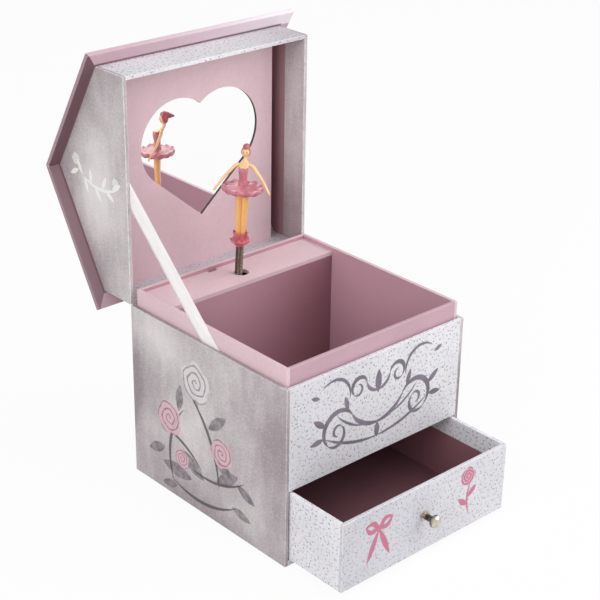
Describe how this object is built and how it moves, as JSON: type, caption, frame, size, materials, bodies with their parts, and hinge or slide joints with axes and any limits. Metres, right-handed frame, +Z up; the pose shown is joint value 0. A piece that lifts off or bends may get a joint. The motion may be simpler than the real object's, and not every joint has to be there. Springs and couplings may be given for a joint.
{
  "type": "wind-up music box",
  "caption": "Paper-covered board music box with a gabled lid, mirror, pull-out drawer and a spinning dancer on a spring, wound by a key at the back.",
  "frame": {"origin": "middle of the case's underside, where it rests", "axes": "+X to the right across the front, +Y to the back, +Z up; the drawer opens to -Y and the lid's hinge is along +X at the back"},
  "size_m": [0.134, 0.229, 0.2276],
  "materials": {
    "print_grey": "grey watercolour print, matt",
    "print_confetti": "pale lilac print with small flecks, matt",
    "board_pink": "pink paper-covered board, matt",
    "roof_pink": "pink paper-covered board, matt",
    "drawer_lining": "plum paper",
    "drawer_paper": "warm white print with small flecks, matt",
    "cloth_grey": "book cloth",
    "ribbon_satin": "satin",
    "mirror_glass": "polished",
    "brass": "polished",
    "nickel": "polished",
    "steel": "machined",
    "zinc": "die cast",
    "spring_steel": "blued",
    "spring_brass": "dull",
    "skin_plastic": "moulded",
    "tutu_plastic": "moulded",
    "hair_plastic": "moulded"
  },
  "bodies": {
    "case": {"floor_board": "print_confetti", "left_wall": "print_grey", "right_wall": "print_grey", "rear_wall": "print_grey", "front_panel": "print_confetti", "deck": "board_pink", "liner_left": "board_pink", "liner_right": "board_pink", "liner_front": "board_pink", "liner_rear": "board_pink", "divider": "board_pink", "platform": "board_pink", "hinge_strip": "cloth_grey", "key_escutcheon": "brass", "stay_ribbon": "ribbon_satin", "bedplate": "zinc", "movement_screws": "steel", "barrel_bridge": "zinc", "governor_frame": "zinc", "comb": "steel", "comb_screws": "steel"},
    "drawer": {"drawer_front": "print_confetti", "drawer_left": "drawer_paper", "drawer_right": "drawer_paper", "drawer_back": "drawer_paper", "drawer_bottom": "drawer_lining", "knob": "nickel", "knob_screw": "steel"},
    "lid": {"lid_left": "print_grey", "lid_right": "print_grey", "lid_front": "print_confetti", "lid_rear": "print_grey", "roof_front": "roof_pink", "roof_rear": "roof_pink", "mirror_board": "board_pink", "mirror_glass": "mirror_glass", "hinge_strip_lid": "cloth_grey"},
    "barrel": {"spring_barrel": "brass", "barrel_cover": "brass", "mainspring": "spring_steel"},
    "winder": {"winding_arbor": "steel", "key": "brass"},
    "cylinder": {"pin_cylinder": "brass", "cylinder_pinion": "steel", "cylinder_gear": "brass", "drive_spindle": "steel", "spring_ferrule": "steel"},
    "governor_wheel": {"layshaft": "brass"},
    "governor_worm": {"worm_shaft": "steel", "fly": "steel"},
    "stalk": {"coil_spring": "spring_brass"},
    "dancer": {"slippers": "tutu_plastic", "legs": "skin_plastic", "tutu": "tutu_plastic", "bodice": "tutu_plastic", "torso": "skin_plastic", "arms": "skin_plastic", "head": "skin_plastic", "hair": "hair_plastic"}
  },
  "joints": [
    {"name": "lid_hinge", "type": "hinge", "parent": "case", "child": "lid", "pos_m": [0, 0.0605, 0.098], "axis": [1, 0, 0], "range_deg": [0, 90], "deforming": ["stay_ribbon"]},
    {"name": "drawer_slide", "type": "slide", "parent": "case", "child": "drawer", "axis": [0, -1, 0], "range_m": [-0.0366, 0.045]},
    {"name": "key_wind", "type": "hinge", "parent": "case", "child": "winder", "pos_m": [-0.002, 0.0605, 0.059], "axis": [0, 1, 0], "range_deg": [0, 1530]},
    {"name": "cylinder_spin", "type": "hinge", "parent": "case", "child": "cylinder", "pos_m": [-0.002, 0.0436, 0.0715], "axis": [0, 0, 1], "continuous": true},
    {"name": "barrel_spin", "type": "hinge", "parent": "case", "child": "barrel", "pos_m": [-0.002, 0.0544, 0.059], "axis": [0, 1, 0], "continuous": true},
    {"name": "wheel_spin", "type": "hinge", "parent": "case", "child": "governor_wheel", "pos_m": [-0.01031, 0.0436, 0.0928], "axis": [0, 0, 1], "continuous": true},
    {"name": "worm_spin", "type": "hinge", "parent": "case", "child": "governor_worm", "pos_m": [-0.01031, 0.0498, 0.0928], "axis": [1, 0, 0], "continuous": true},
    {"name": "dancer_fold", "type": "hinge", "parent": "case", "child": "stalk", "pos_m": [-0.002, 0.04081, 0.11265], "axis": [1, 0, 0], "range_deg": [0, 115], "deforming": ["coil_spring"]},
    {"name": "dancer_spin", "type": "hinge", "parent": "stalk", "child": "dancer", "pos_m": [-0.002, 0.0436, 0.1049], "axis": [0.0335, -0.0306, 0.999], "continuous": true}
  ],
  "couplings": [
    {"joint": "dancer_fold", "follows": "lid_hinge", "ratio": 1.2778},
    {"joint": "dancer_spin", "follows": "cylinder_spin", "ratio": 1},
    {"joint": "barrel_spin", "follows": "cylinder_spin", "ratio": -0.29412},
    {"joint": "wheel_spin", "follows": "cylinder_spin", "ratio": -3.6},
    {"joint": "worm_spin", "follows": "cylinder_spin", "ratio": -86.4}
  ]
}
